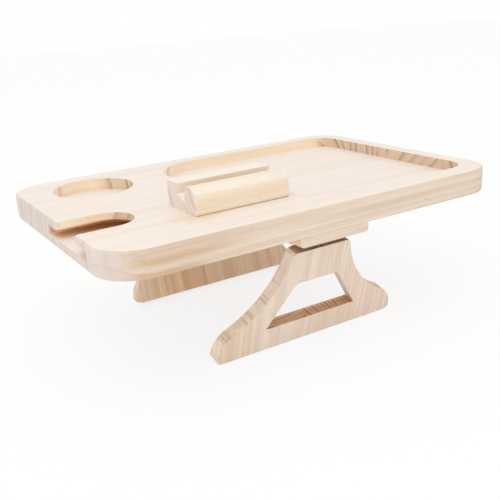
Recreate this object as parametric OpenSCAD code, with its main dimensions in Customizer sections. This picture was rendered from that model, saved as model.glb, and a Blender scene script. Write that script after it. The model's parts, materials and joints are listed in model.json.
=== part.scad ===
// Sofa arm tray: a pine board with a sunken tray, a cup recess and a slot for a
// stemmed glass, a loose phone stand, and two legs that clasp the arm of a sofa.
// The origin is on the ground, under the middle of the board. +X runs along the
// board's length, +Y across it towards the far long edge, and +Z is up.

/* [Board] */
// Length of the board
board_l = 400; // [380:1:480]
// Width of the board
board_w = 270; // [266:1:320]
// Thickness of the board
board_t = 23; // [22:0.5:30]
// Corner radius of the board, seen from above
board_corner_r = 36; // [20:1:45]
// Rounding of the board's upper edges
board_edge_r = 2.5; // [1:0.5:3]
// Rounding of the board's lower edges
board_low_r = 1; // [0.5:0.5:3]

/* [Sunken tray] */
// Depth of the sunken tray
tray_depth = 10.5; // [6:0.5:12]
// Width of the rim at the right end
rim_end = 18; // [14:1:24]
// Width of the rim along the far edge
rim_far = 18; // [14:1:24]
// Width of the rim along the near edge
rim_near = 22; // [16:1:28]
// Width of the flat deck at the left end
deck_l = 144; // [140:1:160]
// Radius of the tray's far left corner
tray_left_r = 54; // [30:1:60]
// Radius of the tray's other corners
tray_corner_r = 22; // [14:1:26]

/* [Cup recess] */
// Diameter of the cup recess
cup_d = 77; // [60:1:84]
// Depth of the cup recess
cup_depth = 11.5; // [6:0.5:14]
// Distance of its centre from the left end
cup_x = 68; // [60:1:80]
// Distance of its centre from the far edge
cup_inset = 60; // [50:1:70]

/* [Glass slot] */
// Width of the slot that takes the stem
stem_w = 45; // [30:1:60]
// Length of the stem slot along its straight sides
stem_l = 36; // [25:1:45]
// Distance of the slot's middle line from the near edge
slot_inset = 92; // [80:1:100]
// Width of the wider slot below it that takes the glass's foot
foot_w = 90; // [70:1:94]
// Height of the foot slot
foot_h = 8; // [5:0.5:9]
// Thickness of wood left under the foot slot
foot_floor = 8; // [6:0.5:9]
// Rounding of the slot's mouth
mouth_r = 4; // [2:0.5:6]

/* [Phone stand] */
// Length of the phone stand
stand_l = 92; // [70:1:96]
// Depth of the phone stand, from its near face to its far face
stand_w = 50; // [44:1:56]
// Height of the phone stand
stand_h = 23; // [20:0.5:30]
// Distance of the stand's left end from the board's left end
stand_x = 94; // [92:1:110]
// Distance of the stand's near face from the board's near edge
stand_inset = 46; // [40:1:60]
// Flat deck left free round the stand
stand_margin = 10; // [8:1:14]
// Rounding of the stand's near top edge
stand_front_r = 9; // [4:0.5:10]
// Rounding of the stand's near bottom edge
stand_foot_r = 2.5; // [1:0.5:4]
// Rounding of the stand's other edges
stand_edge_r = 1.5; // [1:0.5:3]
// Width of the groove that holds the phone
groove_w = 14.5; // [10:0.5:16]
// Depth of the groove, along its middle line
groove_depth = 12; // [8:0.5:13]
// Lean of the groove from upright
groove_lean = 20; // [5:1:22]
// Distance of the middle of the groove's mouth from the stand's near face
groove_inset = 22; // [20:1:26]

/* [Base plate] */
// Width of the base plate, along the board
plate_l = 72; // [64:1:90]
// Thickness of the base plate
plate_t = 8.5; // [7:0.5:12]
// Gap between the plate's ends and the board's long edges
plate_inset = 1; // [0:0.5:8]
// Rounding of the plate's lower edges
plate_edge_r = 3.5; // [2:0.5:6]

/* [Legs] */
// Thickness of a leg
leg_t = 12; // [10:0.5:15]
// Height of a leg along its face
leg_h = 98.5; // [90:0.5:100]
// Lean of a leg from upright, with its foot drawn in
leg_lean = 16; // [8:1:20]
// Half of the length of a leg's foot
foot_half = 99; // [90:1:110]
// Radius of the foot's rounded ends
foot_r = 27; // [24:1:34]
// Height of the centre of the foot's rounded ends
foot_rise = 4; // [0:1:8]
// Rounding of the foot's bottom corners
foot_low_r = 6; // [2:0.5:8]
// Height of the bar at the bottom of the leg
foot_bar_h = 23.5; // [18:0.5:28]
// Half of the width of a leg's head
head_half = 30.5; // [28:0.5:34]
// Radius of the leg's curved sides
side_r = 103; // [92:1:115]
// Height of the solid part above the window
leg_head_h = 33; // [28:1:38]
// Half of the width of the window along its top
window_top_half = 23; // [16:1:24]
// Half of the width of the window along its bottom
window_half = 50; // [40:1:54]
// Rounding of the window's top corners
window_r = 8; // [2:0.5:10]
// Rounding of the leg's top corners
leg_top_r = 5; // [2:0.5:6]

/* [Hinges] */
// Length of a hinge
hinge_l = 50; // [40:1:56]
// Width of a hinge leaf, from the pin's axis
leaf_w = 20; // [17:0.5:24]
// Thickness of a hinge leaf
leaf_t = 1.5; // [1.2:0.1:2]
// Radius of the hinge knuckles
knuckle_r = 3; // [2.8:0.1:3.5]
// Radius of the hinge pin
pin_r = 1.5; // [1.2:0.1:1.8]
// Number of knuckles on a hinge
knuckles = 5; // [3:2:7]
// Distance of the pin's axis from the board's long edge
hinge_inset = 32.5; // [28:0.5:32.5]

/* [Screws] */
// Shank radius of the base plate's screws
plate_screw_r = 2; // [1.5:0.1:2.4]
// Length of the base plate's screws
plate_screw_l = 17; // [14:0.5:18]
// Shank radius of the hinge screws
hinge_screw_r = 1.4; // [1.2:0.1:1.6]
// Length of the screws that hold a hinge to the plate
top_screw_l = 8; // [6:0.5:8]
// Length of the screws that hold a hinge to its leg
leg_screw_l = 10; // [7:0.5:11]

/* [Clearances] */
// Gap between the pin and the knuckle bores, on the radius
pin_gap = 0.05; // [0.03:0.01:0.08]
// Gap between neighbouring knuckles, and round each knuckle
knuckle_gap = 0.3; // [0.2:0.05:0.4]
// Gap round a screw in its hole, on the radius
screw_gap = 0.1; // [0.05:0.05:0.2]
// Gap between a leg's top edge and the hinge knuckles
leg_gap = 0.2; // [0.2:0.1:0.6]

/* [Hidden] */
$fn = 96;
pine = [0.93, 0.83, 0.69];
pine_leg = [0.90, 0.79, 0.65];
steel = [0.72, 0.72, 0.74];

// Length that a cutting shape runs past the face it cuts
past = 1;
// Depth by which two arcs overlap where one runs into the other
blend = 0.1;

// The leaves lie this far from the pin's axis
leaf_offset = knuckle_r + knuckle_gap;
// Leg's top edge below the pin's axis, and the leg's outer face beside it
leg_drop = knuckle_r + leg_gap;
leg_outer = leaf_offset + leg_t;

// Heights above the ground: pin's axis, plate, board and its top face
axis_z = (leg_drop + leg_h) * cos(leg_lean) + leg_outer * sin(leg_lean);
plate_z = axis_z + leaf_offset;
board_z = plate_z + plate_t;
top_z = board_z + board_t;
axis_y = hinge_inset - board_w / 2;

// Sizes of screw heads, which are cones of 45 degrees
plate_head_r = 2 * plate_screw_r;
hinge_head_r = 2 * hinge_screw_r;

// Plan of the board, measured from its middle
left = -board_l / 2;
right = board_l / 2;
near = -board_w / 2;
far = board_w / 2;
tray_left = left + deck_l;
tray_right = right - rim_end;
tray_near = near + rim_near;
tray_far = far - rim_far;
// The deck reaches further right where it carries the phone stand
bay_right = left + stand_x + stand_l + stand_margin;
bay_far = near + stand_inset + stand_w + stand_margin;
bay_r = min(stand_margin * 1.5, (bay_right - tray_left) / 2);
slot_y = near + slot_inset;
slot_end_x = left + stem_l;

// Seats of the screws
plate_screw_x = plate_l / 3;
plate_screw_y = board_w / 5;
leaf_screw_x = hinge_l * 0.34;
leaf_screw_near = leaf_w * 0.42;
leaf_screw_far = leaf_w * 0.7;

// Square corner of side r at [x, y], less the circle that rounds it; it points
// along [sx, sy], out of the shape that it is cut from
module corner_cut(x, y, sx, sy, r) {
    translate([x, y])
        scale([sx, sy])
            difference() {
                translate([-r, -r])
                    square(r + past);
                translate([-r, -r])
                    circle(r);
            }
}

// Fillet of radius r that fills the inner corner at [x, y]
module corner_fill(x, y, sx, sy, r) {
    translate([x, y])
        scale([sx, sy])
            difference() {
                translate([-past / 10, -past / 10])
                    square(r + past / 10);
                translate([r, r])
                    circle(r);
            }
}

// Section through the board's rounded edge, from its middle line out to r
module edge_section(reach) {
    difference() {
        square([reach, board_t]);
        corner_cut(reach, board_t, 1, 1, board_edge_r);
        corner_cut(reach, 0, 1, -1, board_low_r);
    }
}

// Slab that runs along X, with rounded edges along both sides
module slab_x(length, width) {
    for (turn = [0, 180])
        rotate([0, 0, turn])
            translate([-length / 2, 0, 0])
                rotate([90, 0, 90])
                    linear_extrude(length)
                        edge_section(width / 2);
}

module board_blank() {
    r = board_corner_r;
    slab_x(board_l - 2 * r, board_w);
    rotate([0, 0, 90])
        slab_x(board_w - 2 * r, board_l);
    for (x = [-1, 1])
        for (y = [-1, 1])
            translate([x * (board_l / 2 - r), y * (board_w / 2 - r), 0])
                rotate_extrude()
                    edge_section(r);
}

// Plan of the sunken tray, which steps round the phone stand's part of the deck
module tray_plan() {
    difference() {
        translate([tray_left, bay_far])
            square([tray_right - tray_left, tray_far - bay_far]);
        corner_cut(tray_left, tray_far, -1, 1, tray_left_r);
        corner_cut(tray_right, tray_far, 1, 1, tray_corner_r);
        corner_cut(tray_left, bay_far, -1, -1, bay_r);
    }
    difference() {
        translate([bay_right, tray_near])
            square([tray_right - bay_right, bay_far + past - tray_near]);
        corner_cut(bay_right, tray_near, -1, -1, tray_corner_r);
        corner_cut(tray_right, tray_near, 1, -1, tray_corner_r);
    }
    corner_fill(bay_right, bay_far, -1, -1, bay_r);
}

// Plan of a slot that is open at the left end and round at the other
module open_slot(width) {
    translate([left - past, slot_y - width / 2])
        square([stem_l + past, width]);
    translate([slot_end_x, slot_y])
        circle(width / 2);
}

module stem_slot() {
    open_slot(stem_w);
    for (side = [-1, 1])
        corner_fill(left, slot_y + side * stem_w / 2, 1, side, mouth_r);
}

module tray_board() {
    color(pine)
        difference() {
            translate([0, 0, board_z])
                board_blank();
            translate([0, 0, top_z - tray_depth])
                linear_extrude(tray_depth + past)
                    tray_plan();
            translate([left + cup_x, far - cup_inset, top_z - cup_depth])
                cylinder(h = cup_depth + past, r = cup_d / 2);
            translate([0, 0, board_z + foot_floor])
                linear_extrude(foot_h)
                    open_slot(foot_w);
            translate([0, 0, board_z + foot_floor + foot_h / 2])
                linear_extrude(board_t)
                    stem_slot();
            plate_screw_places()
                screw_hole(plate_screw_l, plate_screw_r, plate_head_r);
        }
}

// Countersunk wood screw with its head's face at z = 0 and its point below
module wood_screw(length, shank_r, head_r) {
    cone_h = head_r - shank_r;
    tip_h = 1.5 * shank_r;
    slot_w = 0.35 * shank_r;
    difference() {
        union() {
            translate([0, 0, -cone_h])
                cylinder(h = cone_h, r1 = shank_r, r2 = head_r);
            translate([0, 0, tip_h - length])
                cylinder(h = length - tip_h - cone_h / 2, r = shank_r);
            translate([0, 0, -length])
                cylinder(h = tip_h, r1 = shank_r / 4, r2 = shank_r);
        }
        for (turn = [0, 90])
            rotate([0, 0, turn])
                translate([-head_r / 2, -slot_w / 2, -cone_h * 0.6])
                    cube([head_r, slot_w, cone_h]);
    }
}

// Hole that a wood screw sits in, with the screw gap all round
module screw_hole(length, shank_r, head_r) {
    cone_h = head_r - shank_r;
    hole_r = shank_r + screw_gap;
    // The cone goes on past the surface, so that it opens the hole cleanly
    over = past / 100;
    translate([0, 0, -cone_h])
        cylinder(h = cone_h + over, r1 = hole_r, r2 = hole_r + cone_h + over);
    translate([0, 0, -length - screw_gap])
        cylinder(h = length, r = hole_r);
}

// Places of the base plate's screws, heads down, on the plate's lower face
module plate_screw_places() {
    for (x = [-1, 1])
        for (y = [-1, 1])
            translate([x * plate_screw_x, y * plate_screw_y, plate_z])
                rotate([180, 0, 0])
                    children();
}

module base_plate() {
    length = board_w - 2 * plate_inset;
    color(pine_leg)
        difference() {
            translate([0, length / 2, plate_z])
                rotate([90, 0, 0])
                    linear_extrude(length)
                        difference() {
                            translate([-plate_l / 2, 0])
                                square([plate_l, plate_t]);
                            corner_cut(plate_l / 2, 0, 1, -1, plate_edge_r);
                            corner_cut(-plate_l / 2, 0, -1, -1, plate_edge_r);
                        }
            plate_screw_places()
                screw_hole(plate_screw_l, plate_screw_r, plate_head_r);
            at_near_axis()
                top_screw_places()
                    screw_hole(top_screw_l, hinge_screw_r, hinge_head_r);
            at_far_axis()
                top_screw_places()
                    screw_hole(top_screw_l, hinge_screw_r, hinge_head_r);
        }
}

module base_plate_screws() {
    color(steel)
        plate_screw_places()
            wood_screw(plate_screw_l, plate_screw_r, plate_head_r);
}

// Frame of a hinge: its origin is on the pin's axis, which lies along X, and +Y
// points towards the middle of the board
module at_near_axis() {
    translate([0, axis_y, axis_z])
        children();
}

module at_far_axis() {
    rotate([0, 0, 180])
        at_near_axis()
            children();
}

// Centre of the circle that follows a leg's right-hand side. It goes through the
// head's top corner and just bites into the foot's rounded end.
foot_c = [foot_half - foot_r, leg_h - foot_rise];
head_to_foot = foot_c - [head_half, 0];
foot_reach = side_r + foot_r - blend;
foot_dist = norm(head_to_foot);
side_along = (pow(side_r, 2) - pow(foot_reach, 2) + pow(foot_dist, 2)) / (2 * foot_dist);
side_across = sqrt(pow(side_r, 2) - pow(side_along, 2));
foot_dir = head_to_foot / foot_dist;
side_c = [head_half, 0] + side_along * foot_dir + side_across * [foot_dir[1], -foot_dir[0]];
// Centre of the rounding of the foot's bottom corner
foot_low_drop = foot_low_r - foot_rise;
foot_low_out = sqrt(pow(foot_r - foot_low_r + blend, 2) - pow(foot_low_drop, 2));
foot_low_c = foot_c + [foot_low_out, -foot_low_drop];

// Right and left side of a leg
module both_sides() {
    children();
    mirror([1, 0])
        children();
}

// Wedge that rounds the right-hand top corner of a leg when it is cut away
module head_corner() {
    rise = leg_top_r - side_c[1];
    corner_x = side_c[0] - sqrt(pow(side_r + leg_top_r - blend, 2) - pow(rise, 2));
    difference() {
        polygon([[corner_x, leg_top_r], [corner_x, side_c[1]], side_c]);
        translate([corner_x, leg_top_r])
            circle(leg_top_r);
    }
}

// Wedge that rounds the right-hand bottom corner of a foot when it is cut away
module foot_corner() {
    out = foot_low_c - foot_c;
    edge = foot_c + out / norm(out) * (foot_r + past);
    difference() {
        polygon([
            foot_low_c,
            edge,
            [foot_half + past, leg_h + past],
            [foot_low_c[0], leg_h + past]
        ]);
        translate(foot_low_c)
            circle(foot_low_r);
    }
}

// Face of a leg, drawn with its top edge on the X axis and its foot below
module leg_face() {
    foot_end = [foot_c[0], leg_h + foot_r];
    mirror([0, 1])
        difference() {
            intersection() {
                translate([-foot_half - past, 0])
                    square([2 * foot_half + 2 * past, leg_h]);
                union() {
                    polygon([
                        [-side_c[0], side_c[1]],
                        side_c,
                        foot_c,
                        foot_end,
                        [-foot_end[0], foot_end[1]],
                        [-foot_c[0], foot_c[1]]
                    ]);
                    both_sides()
                        translate(foot_c)
                            circle(foot_r);
                }
            }
            both_sides()
                translate(side_c)
                    circle(side_r);
            both_sides() {
                head_corner();
                foot_corner();
            }
            leg_window();
        }
}

// Window in a leg, wider at its bottom, with rounded top corners
module leg_window() {
    low = leg_h - foot_bar_h;
    slope = atan2(window_half - window_top_half, low - leg_head_h);
    // The rounding touches the window's top and its sloping side
    round_x = window_top_half - window_r * tan(45 - slope / 2);
    round_y = leg_head_h + window_r;
    reach = 2 * window_r;
    difference() {
        polygon([
            [-window_top_half, leg_head_h],
            [window_top_half, leg_head_h],
            [window_half, low],
            [-window_half, low]
        ]);
        both_sides()
            difference() {
                polygon([
                    [round_x, leg_head_h - past],
                    [round_x, round_y],
                    [round_x + reach * cos(slope), round_y - reach * sin(slope)],
                    [round_x + reach, leg_head_h - past]
                ]);
                translate([round_x, round_y])
                    circle(window_r);
            }
    }
}

// Leg in the frame of its hinge, hanging straight down
module upright_leg() {
    difference() {
        translate([0, -leaf_offset, -leg_drop])
            rotate([90, 0, 0])
                linear_extrude(leg_t)
                    leg_face();
        leg_screw_places()
            screw_hole(leg_screw_l, hinge_screw_r, hinge_head_r);
    }
}

// Turns what hangs straight down so that it leans as a leg does at rest
module leaning() {
    rotate([leg_lean, 0, 0])
        children();
}

module near_leg() {
    color(pine_leg)
        at_near_axis()
            leaning()
                upright_leg();
}

module far_leg() {
    color(pine_leg)
        at_far_axis()
            leaning()
                upright_leg();
}

// Every second knuckle of a hinge, from the given one
module knuckle_row(first, r, gap) {
    pitch = hinge_l / knuckles;
    for (k = [first : 2 : knuckles - 1])
        translate([-hinge_l / 2 + k * pitch + gap / 2, 0, 0])
            rotate([0, 90, 0])
                cylinder(h = pitch - gap, r = r);
}

// Leaf that lies above the axis and reaches towards +Y, with its knuckles
module leaf(first) {
    pitch = hinge_l / knuckles;
    difference() {
        union() {
            translate([-hinge_l / 2, 0, leaf_offset - leaf_t])
                cube([hinge_l, leaf_w, leaf_t]);
            knuckle_row(first, knuckle_r, knuckle_gap);
        }
        for (k = [1 - first : 2 : knuckles - 1])
            translate([-hinge_l / 2 + k * pitch - knuckle_gap / 2, -past, 0])
                cube([pitch + knuckle_gap, knuckle_r + 2 * knuckle_gap + past, leaf_offset + past]);
        for (end = [-1, 1])
            translate([end * (hinge_l / 2 + past / 2), 0, 0])
                cube([past + knuckle_gap, 2 * leaf_offset, 3 * leaf_offset], center = true);
        translate([-hinge_l / 2 - past, 0, 0])
            rotate([0, 90, 0])
                cylinder(h = hinge_l + 2 * past, r = pin_r + pin_gap);
    }
}

// Places of the three screws in a leaf that lies above the axis, heads down
module top_screw_places() {
    for (side = [-1, 0, 1])
        translate([
            side * leaf_screw_x,
            side == 0 ? leaf_screw_far : leaf_screw_near,
            leaf_offset - leaf_t
        ])
            rotate([180, 0, 0])
                children();
}

// Turns a leaf that lies above the axis so that it lies on an upright leg
module on_leg() {
    rotate([90, 0, 0])
        mirror([0, 1, 0])
            children();
}

module leg_screw_places() {
    on_leg()
        top_screw_places()
            children();
}

module hinge_top_leaf() {
    color(steel)
        difference() {
            leaf(0);
            top_screw_places()
                screw_hole(top_screw_l, hinge_screw_r, hinge_head_r);
        }
}

module hinge_leg_leaf() {
    color(steel)
        leaning()
            difference() {
                on_leg()
                    leaf(1);
                leg_screw_places()
                    screw_hole(leg_screw_l, hinge_screw_r, hinge_head_r);
            }
}

module hinge_pin() {
    head_t = pin_r / 2;
    color(steel)
        rotate([0, 90, 0])
            union() {
                translate([0, 0, -hinge_l / 2 - head_t])
                    cylinder(h = hinge_l + 2 * head_t, r = pin_r);
                for (end = [-1, 1])
                    translate([0, 0, end * (hinge_l / 2 + head_t / 2)])
                        cylinder(h = head_t, r = (pin_r + knuckle_r) / 2, center = true);
            }
}

module hinge_top_screws() {
    color(steel)
        top_screw_places()
            wood_screw(top_screw_l, hinge_screw_r, hinge_head_r);
}

module hinge_leg_screws() {
    color(steel)
        leaning()
            leg_screw_places()
                wood_screw(leg_screw_l, hinge_screw_r, hinge_head_r);
}

module near_hinge_top_leaf() {
    at_near_axis()
        hinge_top_leaf();
}

module near_hinge_leg_leaf() {
    at_near_axis()
        hinge_leg_leaf();
}

module near_hinge_pin() {
    at_near_axis()
        hinge_pin();
}

module near_hinge_top_screws() {
    at_near_axis()
        hinge_top_screws();
}

module near_hinge_leg_screws() {
    at_near_axis()
        hinge_leg_screws();
}

module far_hinge_top_leaf() {
    at_far_axis()
        hinge_top_leaf();
}

module far_hinge_leg_leaf() {
    at_far_axis()
        hinge_leg_leaf();
}

module far_hinge_pin() {
    at_far_axis()
        hinge_pin();
}

module far_hinge_top_screws() {
    at_far_axis()
        hinge_top_screws();
}

module far_hinge_leg_screws() {
    at_far_axis()
        hinge_leg_screws();
}

// Profile of the phone stand, with its near face on the left
module stand_profile() {
    difference() {
        square([stand_w, stand_h]);
        corner_cut(0, stand_h, -1, 1, stand_front_r);
        corner_cut(0, 0, -1, -1, stand_foot_r);
        corner_cut(stand_w, stand_h, 1, 1, stand_edge_r);
        translate([groove_inset, stand_h])
            rotate(groove_lean)
                translate([-groove_w / 2, -groove_depth])
                    square([groove_w, 2 * groove_depth]);
    }
}

// Block with a leaning groove right along it, on the deck beside the glass slot
module phone_stand() {
    color(pine)
        translate([left + stand_x, near + stand_inset, top_z])
            difference() {
                rotate([90, 0, 90])
                    linear_extrude(stand_l)
                        stand_profile();
                translate([0, 0, -past])
                    linear_extrude(stand_h + 2 * past)
                        for (x = [0, 1])
                            for (y = [0, 1])
                                corner_cut(x * stand_l, y * stand_w, 2 * x - 1, 2 * y - 1, stand_edge_r);
            }
}

tray_board();
base_plate();
base_plate_screws();
near_leg();
near_hinge_top_leaf();
near_hinge_leg_leaf();
near_hinge_pin();
near_hinge_top_screws();
near_hinge_leg_screws();
far_leg();
far_hinge_top_leaf();
far_hinge_leg_leaf();
far_hinge_pin();
far_hinge_top_screws();
far_hinge_leg_screws();
phone_stand();
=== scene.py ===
import json
import math

import bpy
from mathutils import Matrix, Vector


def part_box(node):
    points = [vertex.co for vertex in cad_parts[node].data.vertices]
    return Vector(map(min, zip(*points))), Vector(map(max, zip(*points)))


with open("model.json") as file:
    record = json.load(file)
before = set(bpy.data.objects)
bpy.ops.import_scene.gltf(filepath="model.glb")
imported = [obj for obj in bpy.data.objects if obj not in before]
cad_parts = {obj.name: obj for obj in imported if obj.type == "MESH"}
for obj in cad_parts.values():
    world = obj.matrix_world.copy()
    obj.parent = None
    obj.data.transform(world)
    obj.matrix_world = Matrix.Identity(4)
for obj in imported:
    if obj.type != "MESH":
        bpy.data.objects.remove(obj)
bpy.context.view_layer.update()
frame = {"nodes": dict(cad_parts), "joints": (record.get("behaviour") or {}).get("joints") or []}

# Camera, in the frame of the model: metres, degrees, and millimetres for lens and sensor.
CAMERA_PLACE = (-0.3518, -0.5778, 0.2947)
CAMERA_TURN = (70.93, 3.34, -32.21)
CAMERA_LENS = 50.80
CAMERA_SENSOR = 36.0
CAMERA_NEAREST = 0.01
CAMERA_FARTHEST = 50.0

# Brightness of the even light, of the two lamps, and of the floor as the object sees it.
SKY = 0.90
KEY_WATTS = 5.0
FILL_WATTS = 2.4
FLOOR_GREY = 0.92
# Share of the floor's white that shadows leave alone.
FLOOR_GLOW = 0.80
FLOOR_SIZE = 12.0
FLOOR_HEIGHT = -0.0004

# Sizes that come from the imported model.
BOARD_LOW, BOARD_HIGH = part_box("tray_board")
PLATE_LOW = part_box("base_plate")[0]
STAND_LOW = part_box("phone_stand")[0]
HINGES = {joint["name"]: joint.get("pos_m") for joint in frame["joints"]}
# From a hinge's axis to the leg's inner face, and to the underside of the base plate.
LEAF_OFFSET = PLATE_LOW[2] - HINGES["near_leg_fold"][2]

# Sizes repeated from the model's source: the legs' lean, the board's rounded corners, and the
# foot slot, measured from the board's low near left corner. SLOT_NEAR and SLOT_FAR have half
# a millimetre to spare, and SLOT_REACH has a whole one.
LEG_LEAN = math.radians(16.0)
BOARD_CORNER = 0.036
SLOT_NEAR = 0.0465
SLOT_FAR = 0.1375
SLOT_REACH = 0.082
SLOT_FLOOR = 0.008
SLOT_ROOF = 0.016
# Upright faces at least this far inside the board's outline are milled walls.
RIM = 0.004
# The cup recess and the slot lie to the left of this place.
SMALL_RECESSES_END = -0.055

# Pith places are held in a ramp as colours, so they are scaled to 0..1.
PITH_REACH = 0.4
# Width that the ramp has for the last stave.
LAST_STAVE = 0.08

# Noises of the wood, in waves per metre: along the grain, across the board, through the board.
SLOW_WANDER = (3.0, 9.0, 9.0)
QUICK_WANDER = (14.0, 60.0, 60.0)
STREAKS = (3.5, 150.0, 150.0)
BANDS = (2.5, 90.0, 190.0)
FIBRES = (25.0, 1400.0, 1400.0)
CANALS = (90.0, 1100.0, 1100.0)
CLOUDS = (6.0, 22.0, 22.0)

# Gives staves of different tints different noise.
STAVE_SALT = 3.7
# How far the quick noise shifts the rings, in metres.
QUICK_SHIFT = 0.0035
# How much rings differ in strength, and where in a ring's width its dark line ends.
RING_SPREAD = 1.2
RING_END = (0.9, 1.0)
# Values of their noises between which brown bands and resin canals set in.
BAND_EDGE = (0.42, 0.66)
CANAL_EDGE = (0.72, 0.80)
# How much of rings, bands, streaks and clouds the calm faces lose; on tops, a painted highlight.
CALM_LOSS = 0.72
# How strong the brown bands are.
BAND_STRENGTH = 0.80
# How strong rings are on sawn end grain; milled end grain has this much more.
SAWN_RINGS = 0.55
MILLED_MORE = 1.0
# What a stave's warmth of 1 does to red, green and blue.
WARM = (1.0, 0.90, 0.76)
# What each pattern of the wood adds to its brightness, its roughness and its height.
LIGHT = {"stave": 0.14, "streak": 0.18, "fibre": 0.05, "cloud": 0.08, "canal": -0.08}
ROUGHNESS = {"plain": 0.52, "fibre": 0.12, "end": 0.10, "ring": -0.08}
HEIGHT = {"fibre": 0.5, "streak": 0.3, "ring": 0.6, "canal": -0.8}

# Steel, in waves per metre: along and across its fine lines, and its dull patches.
LINES_ALONG = 60.0
LINES_ACROSS = 2600.0
DULL_PATCHES = 130.0
DULL_STEEL = (0.62, 0.60, 0.55)

# Height of the relief, in metres.
WOOD_RELIEF = 0.00012
STEEL_RELIEF = 0.00003

WHITE = (1.0, 1.0, 1.0, 1.0)


class Graph:
    """Builds the nodes of one material or world; every value may be a number or a socket."""

    def __init__(self, owner):
        owner.use_nodes = True
        self.owner = owner
        self.tree = owner.node_tree
        self.tree.nodes.clear()

    def node(self, kind, **settings):
        made = self.tree.nodes.new(kind)
        for key, value in settings.items():
            setattr(made, key, value)
        return made

    def feed(self, value, socket):
        if isinstance(value, bpy.types.NodeSocket):
            self.tree.links.new(value, socket)
        else:
            socket.default_value = value

    def math(self, operation, *values, clamp=False):
        made = self.node("ShaderNodeMath", operation=operation, use_clamp=clamp)
        for value, socket in zip(values, made.inputs):
            self.feed(value, socket)
        return made.outputs[0]

    def add(self, *values):
        total = values[0]
        for value in values[1:]:
            total = self.math("ADD", total, value)
        return total

    def times(self, *values):
        total = values[0]
        for value in values[1:]:
            total = self.math("MULTIPLY", total, value)
        return total

    def minus(self, a, b):
        return self.math("SUBTRACT", a, b)

    def size(self, value):
        """The value without its sign."""
        return self.math("ABSOLUTE", value)

    def length(self, a, b):
        return self.math("SQRT", self.add(self.times(a, a), self.times(b, b)))

    def rise(self, value, low, high):
        """0 below low, 1 above high, smooth between."""
        made = self.node("ShaderNodeMapRange", interpolation_type="SMOOTHSTEP")
        for number, socket in zip((value, low, high, 0.0, 1.0), made.inputs):
            self.feed(number, socket)
        return made.outputs[0]

    def fall(self, value, low, high):
        """1 below low, 0 above high, smooth between."""
        return self.minus(1.0, self.rise(value, low, high))

    def between(self, value, low, high, soft=0.0005):
        up = self.rise(value, low - soft, low + soft)
        down = self.rise(value, high - soft, high + soft)
        return self.minus(up, down)

    def vector(self, x, y, z):
        made = self.node("ShaderNodeCombineXYZ")
        for value, socket in zip((x, y, z), made.inputs):
            self.feed(value, socket)
        return made.outputs[0]

    def split(self, vector):
        made = self.node("ShaderNodeSeparateXYZ")
        self.feed(vector, made.inputs[0])
        return tuple(made.outputs)

    def dot(self, a, b):
        made = self.node("ShaderNodeVectorMath", operation="DOT_PRODUCT")
        self.feed(a, made.inputs[0])
        self.feed(b, made.inputs[1])
        return made.outputs["Value"]

    def noise(self, vector, scale=1.0, detail=2.0, rough=0.5):
        made = self.node("ShaderNodeTexNoise")
        self.feed(vector, made.inputs["Vector"])
        made.inputs["Scale"].default_value = scale
        made.inputs["Detail"].default_value = detail
        made.inputs["Roughness"].default_value = rough
        return made.outputs["Fac"]

    def blend(self, amount, a, b):
        """From a to b; inputs 6 and 7 and output 2 of the node are its colours."""
        made = self.node("ShaderNodeMix", data_type="RGBA")
        for value, socket in zip((amount, a, b), (made.inputs[0], made.inputs[6], made.inputs[7])):
            self.feed(value, socket)
        return made.outputs[2]

    def tint(self, amount, shade, factor):
        """shade times factor, one number for each of red, green and blue, where amount is 1."""
        change = self.blend(amount, WHITE, colour(*factor))
        made = self.node("ShaderNodeVectorMath", operation="MULTIPLY")
        self.feed(shade, made.inputs[0])
        self.feed(change, made.inputs[1])
        return made.outputs[0]

    def brighten(self, shade, factor):
        made = self.node("ShaderNodeVectorMath", operation="SCALE")
        self.feed(shade, made.inputs[0])
        self.feed(factor, made.inputs["Scale"])
        return made.outputs[0]

    def table(self, value, spots):
        """Row of four numbers that holds from each spot to the next; spots is (place, row)."""
        ramp = self.node("ShaderNodeValToRGB")
        ramp.color_ramp.interpolation = "CONSTANT"
        elements = ramp.color_ramp.elements
        elements.remove(elements[-1])
        for index, (place, row) in enumerate(spots):
            element = elements[0] if index == 0 else elements.new(place)
            element.position = place
            element.color = row
        self.feed(value, ramp.inputs[0])
        parts = self.node("ShaderNodeSeparateColor")
        self.feed(ramp.outputs["Color"], parts.inputs[0])
        return (*parts.outputs, ramp.outputs["Alpha"])

    def finish(self, shade, roughness, height, relief, metallic=0.0, specular=0.3):
        shader = self.node("ShaderNodeBsdfPrincipled")
        self.feed(shade, shader.inputs["Base Color"])
        self.feed(roughness, shader.inputs["Roughness"])
        shader.inputs["Metallic"].default_value = metallic
        shader.inputs["Specular IOR Level"].default_value = specular
        bump = self.node("ShaderNodeBump")
        bump.inputs["Strength"].default_value = 1.0
        bump.inputs["Distance"].default_value = relief
        self.feed(height, bump.inputs["Height"])
        self.feed(bump.outputs[0], shader.inputs["Normal"])
        out = self.node("ShaderNodeOutputMaterial")
        self.feed(shader.outputs[0], out.inputs["Surface"])
        return self.owner


class Face:
    """A point of a surface and its normal, as the masks read them."""

    def __init__(self, graph, point, normal, end):
        self.graph = graph
        self.x, self.y, self.z = graph.split(point)
        self.normal_x, self.normal_y, self.normal_z = graph.split(normal)
        # 1 on end grain
        self.end = end

    def from_corner(self):
        """The point, from the board's low near left corner."""
        places = zip((self.x, self.y, self.z), BOARD_LOW)
        return [self.graph.minus(place, low) for place, low in places]

    def upright(self):
        """1 on walls, 0 on floors and tops."""
        return self.graph.fall(self.graph.size(self.normal_z), 0.3, 0.7)


def colour(red, green, blue):
    return (red, green, blue, 1.0)


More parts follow.
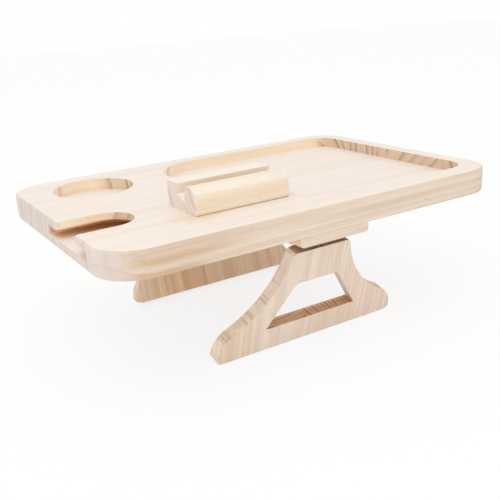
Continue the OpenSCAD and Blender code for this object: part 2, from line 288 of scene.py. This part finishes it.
def stave_table(g, u, v, staves, length):
    """Pith, tint, warmth and contrast of the stave at v; the pith moves along the grain."""
    low = staves[0][0]
    reach = staves[-1][0] - low + LAST_STAVE
    spot = g.math("DIVIDE", g.minus(v, low), reach)
    piths, looks = [], []
    for start, from_pith, to_pith, tint, warmth, contrast in staves:
        at = (start - low) / reach
        piths.append((at, [0.5 + number / PITH_REACH / 2 for number in (*from_pith, *to_pith)]))
        looks.append((at, (tint, warmth, contrast, 1.0)))
    held = [g.times(g.minus(value, 0.5), 2 * PITH_REACH) for value in g.table(spot, piths)]
    share = g.times(u, 1.0 / length)
    pith_v = g.add(held[0], g.times(g.minus(held[2], held[0]), share))
    pith_w = g.add(held[1], g.times(g.minus(held[3], held[1]), share))
    tint, warmth, contrast, _ = g.table(spot, looks)
    return (pith_v, pith_w), tint, warmth, contrast


def dark_rings(g, place, pith, spacing, salt, wander, edge, faint):
    """Dark lines of the growth rings round the pith, which wanders slowly along the grain."""
    u, v, w = place
    slow_u, slow_v, slow_w = (g.times(part, scale) for part, scale in zip(place, SLOW_WANDER))
    slow = g.noise(g.vector(g.add(slow_u, salt), slow_v, slow_w), 1.0, 1.0)
    quick_u, quick_v, quick_w = (g.times(part, scale) for part, scale in zip(place, QUICK_WANDER))
    quick = g.noise(g.vector(quick_u, g.add(quick_v, salt), quick_w))
    shift = g.add(g.times(g.minus(slow, 0.5), wander), g.times(g.minus(quick, 0.5), QUICK_SHIFT))
    radius = g.length(g.minus(v, pith[0]), g.minus(w, pith[1]))
    turns = g.math("DIVIDE", g.add(radius, shift), spacing)
    phase = g.math("FRACT", turns)
    strength = g.node("ShaderNodeTexWhiteNoise", noise_dimensions="1D")
    g.feed(g.add(g.math("FLOOR", turns), salt), strength.inputs["W"])
    bold = g.math("MULTIPLY_ADD", strength.outputs["Value"], RING_SPREAD, faint, clamp=True)
    return g.times(g.math("POWER", phase, edge), g.fall(phase, *RING_END), bold)


def pine(name, origin, axes, staves, spacing, shades, washes=(), calm=None, milled=None,
         length=1.0, end_from=(0.25, 0.85), wander=0.030, edge=3.0, faint=-0.2, seed=0.0):
    """Edge-glued pine: the grain runs along u, and the staves lie side by side along v.

    A stave is (start along v, pith at the start of the grain, pith at its end, tint, warmth,
    contrast), a pith is (v, w), and length is that of the grain between the two. Rings are
    spacing apart and stray slowly by up to half of wander. The higher edge is, the thinner are
    their dark lines; the lower faint is, the more of them fade out. Rings are calmer where
    calm is 1, and those of end grain are stronger where milled is 1. End grain begins and is
    full where the normal lies along the grain by end_from.
    """
    g = Graph(bpy.data.materials.new(name))
    coordinates = g.node("ShaderNodeTexCoord")
    point, normal = coordinates.outputs["Object"], coordinates.outputs["Normal"]
    shifts = [sum(o * a for o, a in zip(origin, axis)) for axis in axes]
    place = [g.minus(g.dot(point, axis), shift) for axis, shift in zip(axes, shifts)]

    def grain(scales, detail=2.0, rough=0.5):
        scaled = g.vector(*(g.times(part, scale) for part, scale in zip(place, scales)))
        return g.noise(scaled, 1.0, detail, rough)

    pith, tint, warmth, contrast = stave_table(g, place[0], place[1], staves, length)
    salt = g.add(g.times(tint, STAVE_SALT), seed)
    dark = dark_rings(g, place, pith, spacing, salt, wander, edge, faint)
    streak = grain(STREAKS, 3.0, 0.6)
    band = grain(BANDS, 3.0, 0.6)
    fibre = grain(FIBRES)
    canal = g.rise(grain(CANALS, 0.0), *CANAL_EDGE)
    cloud = grain(CLOUDS)

    # End grain takes the finish deeper, so it has colours of its own.
    end = g.rise(g.size(g.dot(normal, axes[0])), *end_from)
    face = Face(g, point, normal, end)
    quiet = 1.0
    if calm:
        quiet = g.minus(1.0, g.times(calm(face), CALM_LOSS))
    rings = g.times(dark, contrast, quiet)
    long_face = g.blend(rings, colour(*shades["early"]), colour(*shades["late"]))
    browner = g.times(g.rise(band, *BAND_EDGE), BAND_STRENGTH, quiet)
    long_face = g.blend(browner, long_face, colour(*shades["streak"]))
    deep = 1.0
    if milled:
        deep = g.add(SAWN_RINGS, g.times(milled(face), MILLED_MORE))
    end_rings = g.math("MULTIPLY", dark, deep, clamp=True)
    end_face = g.blend(end_rings, colour(*shades["end_early"]), colour(*shades["end_late"]))
    shade = g.tint(warmth, g.blend(end, long_face, end_face), WARM)
    for mask, factor in washes:
        shade = g.tint(mask(face), shade, factor)
    light = g.add(
        1.0,
        g.times(g.minus(tint, 0.5), LIGHT["stave"]),
        g.times(g.minus(streak, 0.5), LIGHT["streak"], quiet),
        g.times(g.minus(fibre, 0.5), LIGHT["fibre"]),
        g.times(g.minus(cloud, 0.5), LIGHT["cloud"], quiet),
        g.times(canal, g.minus(1.0, end), LIGHT["canal"]),
    )
    rough = g.add(
        ROUGHNESS["plain"],
        g.times(fibre, ROUGHNESS["fibre"]),
        g.times(end, ROUGHNESS["end"]),
        g.times(dark, ROUGHNESS["ring"]),
    )
    height = g.add(
        g.times(fibre, HEIGHT["fibre"]),
        g.times(streak, HEIGHT["streak"]),
        g.times(dark, HEIGHT["ring"]),
        g.times(canal, HEIGHT["canal"]),
    )
    return g.finish(g.brighten(shade, light), rough, height, WOOD_RELIEF)


def steel(name, base, rough, along):
    """Zinc-plated or drawn steel: fine lines along one axis and dull patches."""
    g = Graph(bpy.data.materials.new(name))
    point = g.node("ShaderNodeTexCoord").outputs["Object"]
    scales = [LINES_ALONG if axis == along else LINES_ACROSS for axis in range(3)]
    lines = g.noise(g.vector(*(g.times(part, scale) for part, scale in zip(g.split(point), scales))))
    patch = g.noise(point, DULL_PATCHES, 3.0, 0.6)
    shade = g.blend(g.times(patch, 0.5), colour(*base), colour(*DULL_STEEL))
    light = g.add(0.80, g.times(lines, 0.20), g.times(patch, 0.18))
    roughness = g.add(rough, g.times(lines, 0.12), g.times(patch, 0.16))
    height = g.add(lines, g.times(patch, 0.6))
    bright = g.brighten(shade, light)
    return g.finish(bright, roughness, height, STEEL_RELIEF, metallic=0.92, specular=0.5)


# Masks: 1 on the part of a surface that they stand for, 0 elsewhere.
def deck(face):
    """Faces of the board that look up."""
    return face.graph.rise(face.normal_z, 0.80, 0.99)


def milled_wall(face):
    """Walls of the tray, cup recess and slot: upright, and inside the board's outline."""
    g = face.graph
    out_x = g.math("MAXIMUM", g.minus(g.size(face.x), BOARD_HIGH[0] - BOARD_CORNER), 0.0)
    out_y = g.math("MAXIMUM", g.minus(g.size(face.y), BOARD_HIGH[1] - BOARD_CORNER), 0.0)
    inner = g.fall(g.length(out_x, out_y), BOARD_CORNER - RIM, BOARD_CORNER - RIM / 2)
    return g.times(face.upright(), inner)


def board_calm(face):
    """Faces of the board with faint rings: the deck, as painted highlight, and milled walls."""
    return face.graph.math("MAXIMUM", deck(face), face.graph.times(milled_wall(face), 0.9))


def stand_shadow_on_deck(face):
    """Painted shadow and reflection of the phone stand: deck round its near left corner, a little
    orange.
    """
    g = face.graph
    along = g.times(g.minus(face.x, STAND_LOW[0] + 0.004), 0.6)
    across = g.minus(face.y, STAND_LOW[1] + 0.002)
    return g.times(g.fall(g.length(along, across), 0.004, 0.024), deck(face))


def near_left(face):
    """Left part of the board's near side, with the corner."""
    g = face.graph
    x, y, _ = face.from_corner()
    looks_near = g.rise(g.times(face.normal_y, -1.0), 0.2, 0.6)
    return g.times(g.fall(x, 0.07, 0.14), g.fall(y, 0.024, 0.034), looks_near)


def corner_bands(face):
    """Wavy orange bands in near_left: under its top edge, below its middle and at its bottom."""
    g = face.graph
    x, _, z = face.from_corner()
    wave = g.noise(g.vector(g.times(face.x, 30.0), 0.0, g.times(face.z, 90.0)))
    level = g.add(z, g.times(g.minus(wave, 0.5), 0.006))
    top = g.times(g.between(level, 0.0190, 0.0230, 0.0012), 0.5)
    middle = g.times(g.between(level, 0.0090, 0.0158, 0.0020), g.fall(x, 0.065, 0.130))
    bottom = g.times(g.between(level, -0.0010, 0.0048, 0.0012), g.fall(x, 0.055, 0.085))
    return g.times(near_left(face), g.rise(x, 0.010, 0.026), g.add(top, middle, bottom))


def slot_bottom(face):
    """Floor of the foot slot."""
    g = face.graph
    _, _, z = face.from_corner()
    return g.times(g.between(z, SLOT_FLOOR - 0.001, SLOT_FLOOR + 0.001), g.rise(face.normal_z, 0.5, 0.9))


def slot_shade(face):
    """Floor of the foot slot in the deck's shade: away from the open end, and the far side."""
    g = face.graph
    x, y, _ = face.from_corner()
    far = g.times(0.8, g.rise(x, 0.0, 0.004), g.rise(y, SLOT_FAR - 0.032, SLOT_FAR - 0.004))
    return g.times(slot_bottom(face), g.math("MAXIMUM", g.rise(x, 0.006, 0.036), far))


def slot_end_shadow(face):
    """Painted shadow: dark spot on the floor of the foot slot, at its near end under the deck."""
    g = face.graph
    x, y, _ = face.from_corner()
    near = g.fall(y, SLOT_NEAR + 0.004, SLOT_NEAR + 0.013)
    return g.times(slot_bottom(face), g.rise(x, 0.0005, 0.003), near)


def undercut(face):
    """Wall of the foot slot, under the deck."""
    g = face.graph
    x, y, z = face.from_corner()
    return g.times(
        g.between(z, SLOT_FLOOR + 0.001, SLOT_ROOF + 0.001),
        g.between(y, SLOT_NEAR, SLOT_FAR),
        g.between(x, 0.0015, SLOT_REACH),
        face.upright(),
    )


def undercut_deep_shade(face):
    """Deeper painted shade on undercut, away from the slot's open end."""
    x, _, _ = face.from_corner()
    return face.graph.times(undercut(face), face.graph.rise(x, 0.005, 0.045))


def lit_wall(face):
    """Milled walls along the grain, other than the foot slot's."""
    g = face.graph
    return g.times(milled_wall(face), g.minus(1.0, face.end), g.minus(1.0, undercut(face)))


def end_wall(face):
    """Milled end grain that looks to the left end of the board."""
    g = face.graph
    return g.times(milled_wall(face), face.end, g.rise(g.times(face.normal_x, -1.0), 0.0, 0.1))


def end_wall_small(face):
    """The part of end_wall in the cup recess and the slot."""
    left = face.graph.fall(face.x, SMALL_RECESSES_END - 0.005, SMALL_RECESSES_END + 0.005)
    return face.graph.times(end_wall(face), left)


def end_wall_back(face):
    """Milled end grain that looks to the right end of the board."""
    g = face.graph
    return g.times(milled_wall(face), face.end, g.rise(face.normal_x, 0.0, 0.1))


def stand_top(face):
    """The stand's top and most of its rounded edge; the painted highlight makes them paler and calmer.
    """
    return face.graph.rise(face.normal_z, 0.25, 0.50)


def stand_near_top(face):
    """The part of stand_top on the near side of the groove."""
    near = face.graph.fall(face.y, STAND_LOW[1] + 0.016, STAND_LOW[1] + 0.022)
    return face.graph.times(stand_top(face), near)


def leg_flank(face):
    """Curved sides of a leg and sloping sides of its window."""
    return face.graph.rise(face.graph.size(face.normal_x), 0.25, 0.45)


def lit_leg_side(face):
    """The part of leg_flank that is no end grain; painted light makes it paler."""
    return face.graph.times(leg_flank(face), face.graph.minus(1.0, face.end))


def leg_hatch(face):
    """Growth rings cut across, where the sides of a leg slope."""
    g = face.graph
    slope = g.between(g.size(face.normal_z), 0.45, 0.88, 0.08)
    lines = g.noise(g.vector(g.times(face.x, 520.0), 0.0, g.times(face.z, 60.0)), 1.0, 0.0)
    patches = g.noise(g.vector(g.times(face.x, 70.0), 0.0, 0.0), 1.0, 0.0)
    return g.times(slope, leg_flank(face), g.rise(lines, 0.50, 0.62), g.rise(patches, 0.42, 0.56))


def leg_head(face):
    """End grain at the top of a leg, in the shade of the base plate; its left tip is clear."""
    g = face.graph
    top = g.rise(face.z, PLATE_LOW[2] - 0.020, PLATE_LOW[2] - 0.015)
    return g.times(face.end, top, g.rise(face.x, -0.030, -0.020))


def sill_back(face):
    """Back edge of the sill of the near leg's window, which catches the light."""
    g = face.graph
    _, hinge_y, hinge_z = HINGES["near_leg_fold"]
    outwards = g.add(
        g.times(g.minus(face.y, hinge_y), -math.cos(LEG_LEAN)),
        g.times(g.minus(face.z, hinge_z), -math.sin(LEG_LEAN)),
    )
    back = g.between(outwards, LEAF_OFFSET - 0.001, LEAF_OFFSET + 0.0032, 0.0006)
    return g.times(face.end, back, g.fall(face.z, 0.04, 0.05))


# Colours of the wood: pale and dark part of a ring, brown band, and the same rings on end grain.
BOARD_SHADES = {
    "early": (0.79, 0.66, 0.535),
    "late": (0.57, 0.41, 0.28),
    "streak": (0.65, 0.52, 0.41),
    "end_early": (0.75, 0.66, 0.60),
    "end_late": (0.42, 0.31, 0.22),
}
PLATE_SHADES = {
    **BOARD_SHADES,
    "end_early": (0.90, 0.69, 0.46),
    "end_late": (0.72, 0.50, 0.30),
}
STAND_SHADES = {
    "early": (0.855, 0.725, 0.575),
    "late": (0.74, 0.57, 0.41),
    "streak": (0.81, 0.665, 0.51),
    "end_early": (0.78, 0.69, 0.62),
    "end_late": (0.56, 0.46, 0.38),
}
LEG_SHADES = {
    "early": (0.845, 0.715, 0.605),
    "late": (0.62, 0.44, 0.30),
    "streak": (0.76, 0.61, 0.485),
    "end_early": (0.68, 0.42, 0.25),
    "end_late": (0.18, 0.09, 0.05),
}
# Paler and more orange than LEG_SHADES: painted light, making up for the shade under the board.
FAR_LEG_LIT_SHADES = {
    "early": (0.92, 0.73, 0.55),
    "late": (0.66, 0.41, 0.22),
    "streak": (0.80, 0.56, 0.36),
    "end_early": (0.58, 0.37, 0.20),
    "end_late": (0.30, 0.16, 0.07),
}

# Washes: a mask, and what red, green and blue are multiplied by where it is 1. Several paint light and
# shade.
BOARD_WASHES = (
    # Painted highlight: faces of the board that look up are paler and less yellow.
    (deck, (1.175, 1.265, 1.42)),
    # Painted shadow and reflection of the phone stand on the deck.
    (stand_shadow_on_deck, (1.00, 0.91, 0.80)),
    (near_left, (0.925, 0.905, 0.90)),
    (corner_bands, (0.93, 0.83, 0.70)),
    (slot_shade, (1.03, 0.68, 0.42)),
    (lit_wall, (1.20, 1.22, 1.16)),
    # Painted shade: milled end grain that looks to the left end is darker, on top of its warmer tone.
    (end_wall, (0.95, 0.83, 0.66)),
    # Less of end_wall's painted shade in the cup recess and the slot.
    (end_wall_small, (1.05, 1.12, 1.12)),
    # Painted light: milled end grain that looks to the right end is brighter.
    (end_wall_back, (1.26, 1.22, 1.10)),
    # Painted shade: the foot slot's wall under the deck is darker and more orange.
    (undercut, (1.05, 0.78, 0.50)),
    # Deeper painted shade further from the slot's open end.
    (undercut_deep_shade, (0.75, 0.55, 0.42)),
    # Painted shadow at the near end of the foot slot's floor.
    (slot_end_shadow, (0.52, 0.42, 0.32)),
)
NEAR_LEG_WASHES = (
    # Painted light: the near leg's flanks are paler.
    (lit_leg_side, (1.07, 1.09, 1.10)),
    (leg_hatch, (0.82, 0.74, 0.64)),
    (leg_head, (0.55, 0.58, 0.66)),
    (sill_back, (1.22, 1.36, 1.42)),
)
STAND_WASHES = (
    # Painted highlight: the stand's top is paler and less yellow.
    (stand_top, (1.09, 1.17, 1.32)),
    # Less of the painted highlight on the near side of the groove.
    (stand_near_top, (0.955, 0.93, 0.89)),
)

# Axes of the grain: along it, across the staves, and through them. The legs lean.
FLAT_AXES = ((1, 0, 0), (0, 1, 0), (0, 0, 1))
LEAN_S = math.sin(LEG_LEAN)
LEAN_C = math.cos(LEG_LEAN)
NEAR_LEG_AXES = ((0, -LEAN_S, LEAN_C), (1, 0, 0), (0, -LEAN_C, -LEAN_S))
FAR_LEG_AXES = ((0, LEAN_S, LEAN_C), (1, 0, 0), (0, LEAN_C, -LEAN_S))
# Only the top and the foot of a leg and the level edges of its window count as end grain.
LEG_END_FROM = (0.90, 0.98)

PINE_BOARD = pine(
    "pine_board", BOARD_LOW, FLAT_AXES,
    [
        (0.000, (0.030, -0.050), (0.030, -0.050), 0.50, 0.08, 1.00),
        (0.030, (0.150, -0.012), (0.150, -0.012), 0.54, 0.10, 0.60),
        (0.061, (-0.007, 0.000), (0.020, -0.060), 0.50, 0.06, 0.60),
        (0.137, (0.010, -0.038), (0.002, 0.012), 0.52, 0.12, 0.60),
        (0.200, (0.330, 0.012), (0.300, -0.062), 0.49, 0.08, 0.60),
    ],
    0.0100, BOARD_SHADES, BOARD_WASHES, board_calm, milled_wall,
    length=BOARD_HIGH[0] - BOARD_LOW[0], faint=-0.1, seed=1.3,
)
PINE_PLATE = pine(
    "pine_plate", PLATE_LOW, FLAT_AXES,
    [(0.000, (0.020, -0.060), (0.020, -0.060), 0.52, 0.10, 0.60)],
    0.0080, PLATE_SHADES, seed=4.2,
)
PINE_NEAR_LEG = pine(
    "pine_near_leg", HINGES["near_leg_fold"], NEAR_LEG_AXES,
    [
        (-0.110, (-0.160, -0.040), (-0.160, -0.040), 0.48, 0.30, 0.60),
        (-0.063, (-0.030, -0.055), (-0.030, -0.055), 0.54, 0.00, 0.35),
        (-0.004, (-0.150, 0.010), (-0.150, 0.010), 0.50, 0.05, 0.60),
        (0.046, (0.120, -0.030), (0.120, -0.030), 0.54, 0.12, 0.45),
    ],
    0.0048, LEG_SHADES, NEAR_LEG_WASHES,
    end_from=LEG_END_FROM, wander=0.010, edge=1.8, faint=0.35, seed=8.8,
)
PINE_FAR_LEG = pine(
    "pine_far_leg", HINGES["far_leg_fold"], FAR_LEG_AXES,
    [
        (-0.110, (-0.150, 0.030), (-0.150, 0.030), 0.62, 0.00, 0.45),
        (-0.068, (-0.030, 0.040), (-0.030, 0.040), 0.50, 0.60, 0.80),
        (-0.002, (0.110, 0.010), (0.110, 0.010), 0.44, 0.10, 0.30),
        (0.064, (0.150, -0.030), (0.150, -0.030), 0.42, 0.10, 0.30),
    ],
    0.0058, FAR_LEG_LIT_SHADES,
    end_from=LEG_END_FROM, wander=0.012, edge=2.0, faint=0.2, seed=2.6,
)
PINE_STAND = pine(
    "pine_stand", STAND_LOW, FLAT_AXES,
    [(-0.010, (-0.045, 0.050), (-0.045, 0.050), 0.52, 0.00, 0.40)],
    0.0080, STAND_SHADES, STAND_WASHES, stand_top, edge=2.0, seed=6.1,
)
HINGE_STEEL = steel("hinge_steel", (0.66, 0.67, 0.69), 0.30, 0)
PIN_STEEL = steel("pin_steel", (0.58, 0.59, 0.62), 0.26, 0)
SCREW_STEEL = steel("screw_steel", (0.62, 0.62, 0.64), 0.30, 2)

# The first words that a node's name contains give its material.
NODE_MATERIALS = (
    ("tray_board", PINE_BOARD),
    ("base_plate_screws", SCREW_STEEL),
    ("base_plate", PINE_PLATE),
    ("phone_stand", PINE_STAND),
    ("screws", SCREW_STEEL),
    ("pin", PIN_STEEL),
    ("leaf", HINGE_STEEL),
    ("near_leg", PINE_NEAR_LEG),
    ("far_leg", PINE_FAR_LEG),
)
for node, thing in frame["nodes"].items():
    material = next(made for words, made in NODE_MATERIALS if words in node)
    for slot in thing.material_slots:
        slot.material = material


def seen_directly(g):
    """1 for rays from the camera and for glossy and transmission rays, 0 for diffuse ones."""
    ray = g.node("ShaderNodeLightPath").outputs
    mirrored = g.math("MAXIMUM", ray["Is Glossy Ray"], ray["Is Transmission Ray"])
    return g.math("MAXIMUM", ray["Is Camera Ray"], mirrored)


def add_floor():
    """White where it is seen, with the object's shadow; pale grey to diffuse rays."""
    bpy.ops.mesh.primitive_plane_add(size=FLOOR_SIZE, location=(0.0, 0.0, FLOOR_HEIGHT))
    floor = bpy.context.object
    floor.name = "floor"
    g = Graph(bpy.data.materials.new("floor"))
    seen = seen_directly(g)
    plain = g.node("ShaderNodeBsdfDiffuse")
    pale = colour(FLOOR_GREY, FLOOR_GREY, FLOOR_GREY)
    g.feed(g.blend(seen, pale, WHITE), plain.inputs["Color"])
    glow = g.node("ShaderNodeEmission")
    glow.inputs["Color"].default_value = WHITE
    glow.inputs["Strength"].default_value = 1.0
    both = g.node("ShaderNodeMixShader")
    g.feed(g.times(seen, FLOOR_GLOW), both.inputs[0])
    g.feed(plain.outputs[0], both.inputs[1])
    g.feed(glow.outputs[0], both.inputs[2])
    out = g.node("ShaderNodeOutputMaterial")
    g.feed(both.outputs[0], out.inputs["Surface"])
    floor.data.materials.append(g.owner)


def add_world(scene):
    """Even studio light, white where it is seen."""
    scene.world = bpy.data.worlds.new("studio")
    g = Graph(scene.world)
    back = g.node("ShaderNodeBackground")
    back.inputs["Color"].default_value = WHITE
    g.feed(g.add(SKY, g.times(seen_directly(g), 1.0 - SKY)), back.inputs["Strength"])
    out = g.node("ShaderNodeOutputWorld")
    g.feed(back.outputs[0], out.inputs["Surface"])


def add_lamp(scene, name, place, target, size, power):
    """Round area lamp at place that shines on target."""
    data = bpy.data.lights.new(name, "AREA")
    data.shape = "DISK"
    data.size = size
    data.energy = power
    lamp = bpy.data.objects.new(name, data)
    scene.collection.objects.link(lamp)
    lamp.location = place
    aim = [t - p for t, p in zip(target, place)]
    flat = math.hypot(aim[0], aim[1])
    lamp.rotation_euler = (math.atan2(flat, -aim[2]), 0.0, math.atan2(-aim[0], aim[1]))


def add_camera(scene):
    data = bpy.data.cameras.new("camera")
    data.sensor_fit = "HORIZONTAL"
    data.sensor_width = CAMERA_SENSOR
    data.lens = CAMERA_LENS
    data.clip_start = CAMERA_NEAREST
    data.clip_end = CAMERA_FARTHEST
    camera = bpy.data.objects.new("camera", data)
    scene.collection.objects.link(camera)
    camera.location = CAMERA_PLACE
    camera.rotation_euler = [math.radians(turn) for turn in CAMERA_TURN]
    bpy.context.scene.camera = camera


scene = bpy.context.scene
add_floor()
add_world(scene)
add_lamp(
    scene, "key", place=(-0.9, -0.6, 1.6), target=(0.0, 0.0, 0.1), size=1.4, power=KEY_WATTS,
)
add_lamp(
    scene, "fill", place=(-0.7, -1.2, 0.25), target=(0.0, 0.05, 0.06), size=0.8, power=FILL_WATTS,
)
add_camera(scene)
scene.view_settings.view_transform = "Standard"
